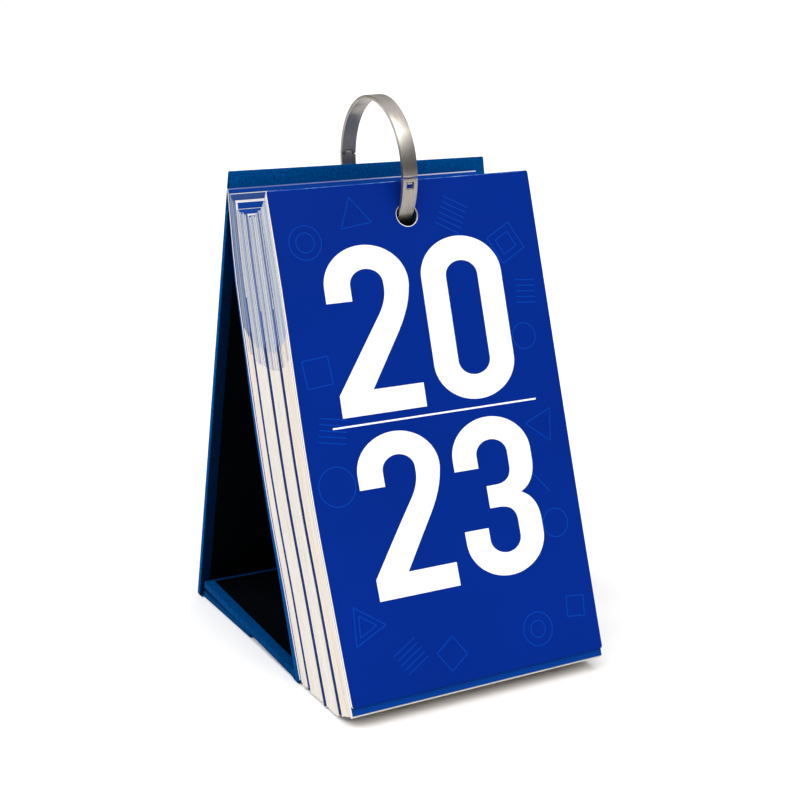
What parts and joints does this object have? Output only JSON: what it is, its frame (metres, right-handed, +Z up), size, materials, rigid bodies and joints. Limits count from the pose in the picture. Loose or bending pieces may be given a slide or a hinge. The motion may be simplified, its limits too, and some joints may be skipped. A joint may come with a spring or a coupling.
{
  "type": "desk calendar",
  "caption": "Page-a-day desk calendar: thick pads of leaves on one hinged flat ring, hung over a folding cloth-covered board easel.",
  "frame": {"origin": "middle of the footprint, on the table", "axes": "+X right as the front cover is read, the cover faces -Y, +Z up"},
  "size_m": [0.1255, 0.1628, 0.2376],
  "materials": {
    "cover_cloth": "satin-woven blue book cloth with a sheen, edges turned over the board",
    "greyboard": "hidden grey bookbinding board",
    "lining": "matt black lining paper",
    "page_paper": "uncoated cream leaves, edges seen as fine lines, upper edges tinted grey-blue",
    "divider_card": "blue printed card",
    "cover_card": "satin laminated blue card with a white core",
    "ring_steel": "brushed nickel-plated steel strip",
    "magnet_nickel": "hidden nickel-plated magnets and steel discs"
  },
  "bodies": {
    "front_panel": {"front_panel_cloth": "cover_cloth", "front_panel_board": "greyboard", "front_panel_lining": "lining"},
    "rear_panel": {"rear_panel_cloth": "cover_cloth", "rear_panel_board": "greyboard", "rear_panel_lining": "lining"},
    "flap": {"flap_cloth": "cover_cloth", "flap_board": "greyboard", "flap_lining": "lining", "flap_plate_left": "magnet_nickel", "flap_plate_right": "magnet_nickel"},
    "base": {"base_cloth": "cover_cloth", "base_board": "greyboard", "base_lining": "lining", "base_magnet_left": "magnet_nickel", "base_magnet_right": "magnet_nickel"},
    "ring_lower": {"ring_lower_half": "ring_steel", "ring_hinge_pin": "ring_steel"},
    "ring_upper": {"ring_upper_half": "ring_steel"},
    "back_cover": {"back_cover": "divider_card"},
    "pad_quarter_4": {"pad_quarter_4": "page_paper"},
    "divider_3": {"divider_3": "divider_card"},
    "pad_quarter_3": {"pad_quarter_3": "page_paper"},
    "divider_2": {"divider_2": "divider_card"},
    "pad_quarter_2": {"pad_quarter_2": "page_paper"},
    "divider_1": {"divider_1": "divider_card"},
    "pad_quarter_1": {"pad_quarter_1": "page_paper"},
    "title_sheet": {"title_sheet": "divider_card"},
    "front_cover": {"front_cover": "cover_card"}
  },
  "joints": [
    {"name": "rear_panel_fold", "type": "hinge", "parent": "front_panel", "child": "rear_panel", "pos_m": [0.0006, 0.0319, 0.2059], "axis": [1, 0, 0], "range_deg": [0, 130]},
    {"name": "flap_fold", "type": "hinge", "parent": "rear_panel", "child": "flap", "pos_m": [0.0006, 0.0813, 0.0003], "axis": [1, 0, 0], "range_deg": [0, 103]},
    {"name": "base_fold", "type": "hinge", "parent": "front_panel", "child": "base", "pos_m": [0.0006, -0.0276, 0.0036], "axis": [1, 0, 0], "range_deg": [0, 60]},
    {"name": "ring_turn", "type": "hinge", "parent": "front_panel", "child": "ring_lower", "pos_m": [-0.0026, 0.0102, 0.2071], "axis": [0.9989, -0.0314, 0.0349], "range_deg": [-30, 30]},
    {"name": "ring_open", "type": "hinge", "parent": "ring_lower", "child": "ring_upper", "pos_m": [-0.0018, 0.03949, 0.2107], "axis": [0.9989, -0.0314, 0.0349], "range_deg": [-75, 0]},
    {"name": "back_cover_turn", "type": "hinge", "parent": "front_panel", "child": "back_cover", "pos_m": [-0.0026, 0.0102, 0.2071], "axis": [-0.9989, 0.0314, -0.0349], "range_deg": [0, 180]},
    {"name": "pad_quarter_4_turn", "type": "hinge", "parent": "back_cover", "child": "pad_quarter_4", "pos_m": [-0.0026, 0.0102, 0.2071], "axis": [-0.9989, 0.0314, -0.0349], "range_deg": [0, 180]},
    {"name": "divider_3_turn", "type": "hinge", "parent": "pad_quarter_4", "child": "divider_3", "pos_m": [-0.0026, 0.0102, 0.2071], "axis": [-0.9989, 0.0314, -0.0349], "range_deg": [0, 180]},
    {"name": "pad_quarter_3_turn", "type": "hinge", "parent": "divider_3", "child": "pad_quarter_3", "pos_m": [-0.0026, 0.0102, 0.2071], "axis": [-0.9989, 0.0314, -0.0349], "range_deg": [0, 180]},
    {"name": "divider_2_turn", "type": "hinge", "parent": "pad_quarter_3", "child": "divider_2", "pos_m": [-0.0026, 0.0102, 0.2071], "axis": [-0.9989, 0.0314, -0.0349], "range_deg": [0, 180]},
    {"name": "pad_quarter_2_turn", "type": "hinge", "parent": "divider_2", "child": "pad_quarter_2", "pos_m": [-0.0026, 0.0102, 0.2071], "axis": [-0.9989, 0.0314, -0.0349], "range_deg": [0, 180]},
    {"name": "divider_1_turn", "type": "hinge", "parent": "pad_quarter_2", "child": "divider_1", "pos_m": [-0.0026, 0.0102, 0.2071], "axis": [-0.9989, 0.0314, -0.0349], "range_deg": [0, 180]},
    {"name": "pad_quarter_1_turn", "type": "hinge", "parent": "divider_1", "child": "pad_quarter_1", "pos_m": [-0.0026, 0.0102, 0.2071], "axis": [-0.9989, 0.0314, -0.0349], "range_deg": [0, 180]},
    {"name": "title_sheet_turn", "type": "hinge", "parent": "pad_quarter_1", "child": "title_sheet", "pos_m": [-0.0026, 0.0102, 0.2071], "axis": [-0.9989, 0.0314, -0.0349], "range_deg": [0, 180]},
    {"name": "front_cover_turn", "type": "hinge", "parent": "title_sheet", "child": "front_cover", "pos_m": [-0.0026, 0.0102, 0.2071], "axis": [-0.9989, 0.0314, -0.0349], "range_deg": [0, 180]}
  ]
}
